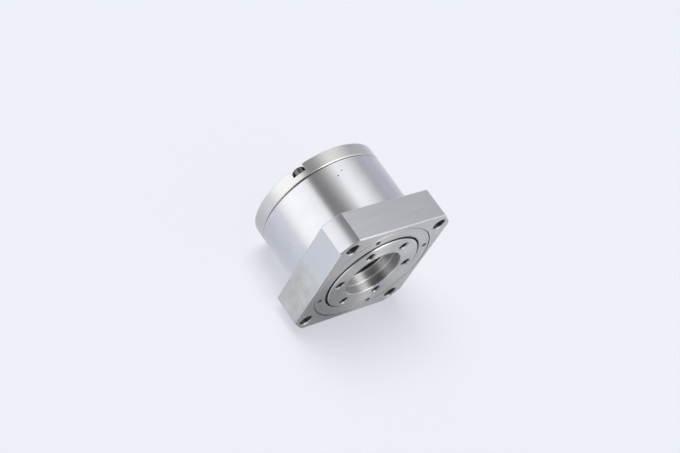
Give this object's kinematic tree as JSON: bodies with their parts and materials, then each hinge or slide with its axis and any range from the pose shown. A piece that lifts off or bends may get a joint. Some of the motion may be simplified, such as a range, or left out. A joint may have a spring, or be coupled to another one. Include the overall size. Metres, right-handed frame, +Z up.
{
  "type": "strain wave gearbox",
  "caption": "Compact strain wave gearbox: square flange with corner holes, round output disc on a crossed roller bearing, plain steel barrel, and an open motor end over the wave generator.",
  "frame": {"origin": "on the gear axis, in the plane of the square flange's mounting face", "axes": "-Y out of the output disc, +Y towards the motor, +Z up through a flat side of the flange, +X to the right seen from the output side"},
  "size_m": [0.05, 0.038, 0.05],
  "materials": {
    "ground_steel": "ground barrel, milled flange",
    "turned_steel": "turned",
    "output_steel": "turned",
    "end_ring_steel": "turned, slightly warmer",
    "bearing_steel": "ground and polished",
    "ball_steel": "mirror polished",
    "spring_steel": "fine turned",
    "cam_steel": "milled",
    "hub_steel": "turned",
    "black_screw": "black oxide",
    "black_rubber": "matt",
    "cage_plastic": "natural nylon"
  },
  "bodies": {
    "housing": {"housing": "ground_steel", "retainer_ring": "turned_steel", "output_seal": "black_rubber", "bearing_outer_ring_front": "bearing_steel", "bearing_outer_ring_rear": "bearing_steel", "circular_spline": "end_ring_steel", "spline_seal_ring": "black_rubber", "end_ring_screws": "black_screw", "end_ring_dowels": "bearing_steel"},
    "wave_generator": {"wave_generator_cam": "cam_steel", "wave_generator_hub": "hub_steel", "hub_screws": "black_screw", "hub_grub_screws": "black_screw", "wave_bearing_inner_race": "bearing_steel", "wave_bearing_outer_race": "bearing_steel", "wave_bearing_balls": "ball_steel", "wave_bearing_cage": "cage_plastic"},
    "output": {"output_flange": "output_steel", "bore_plug": "black_rubber", "flexspline": "spring_steel", "cup_clamp_ring": "turned_steel", "cup_screws": "black_screw"},
    "roller_set": {"crossed_rollers": "bearing_steel", "roller_spacers": "cage_plastic"}
  },
  "joints": [
    {"name": "input_spin", "type": "hinge", "parent": "housing", "child": "wave_generator", "pos_m": [0, 0.032, 0], "axis": [0, 1, 0], "continuous": true, "deforming": ["flexspline"]},
    {"name": "output_spin", "type": "hinge", "parent": "housing", "child": "output", "pos_m": [0, 0.0067, 0], "axis": [0, 1, 0], "continuous": true},
    {"name": "roller_orbit", "type": "hinge", "parent": "housing", "child": "roller_set", "pos_m": [0, 0.0067, 0], "axis": [0, 1, 0], "continuous": true}
  ],
  "couplings": [
    {"joint": "output_spin", "follows": "input_spin", "ratio": -0.02},
    {"joint": "roller_orbit", "follows": "input_spin", "ratio": -0.009534}
  ]
}
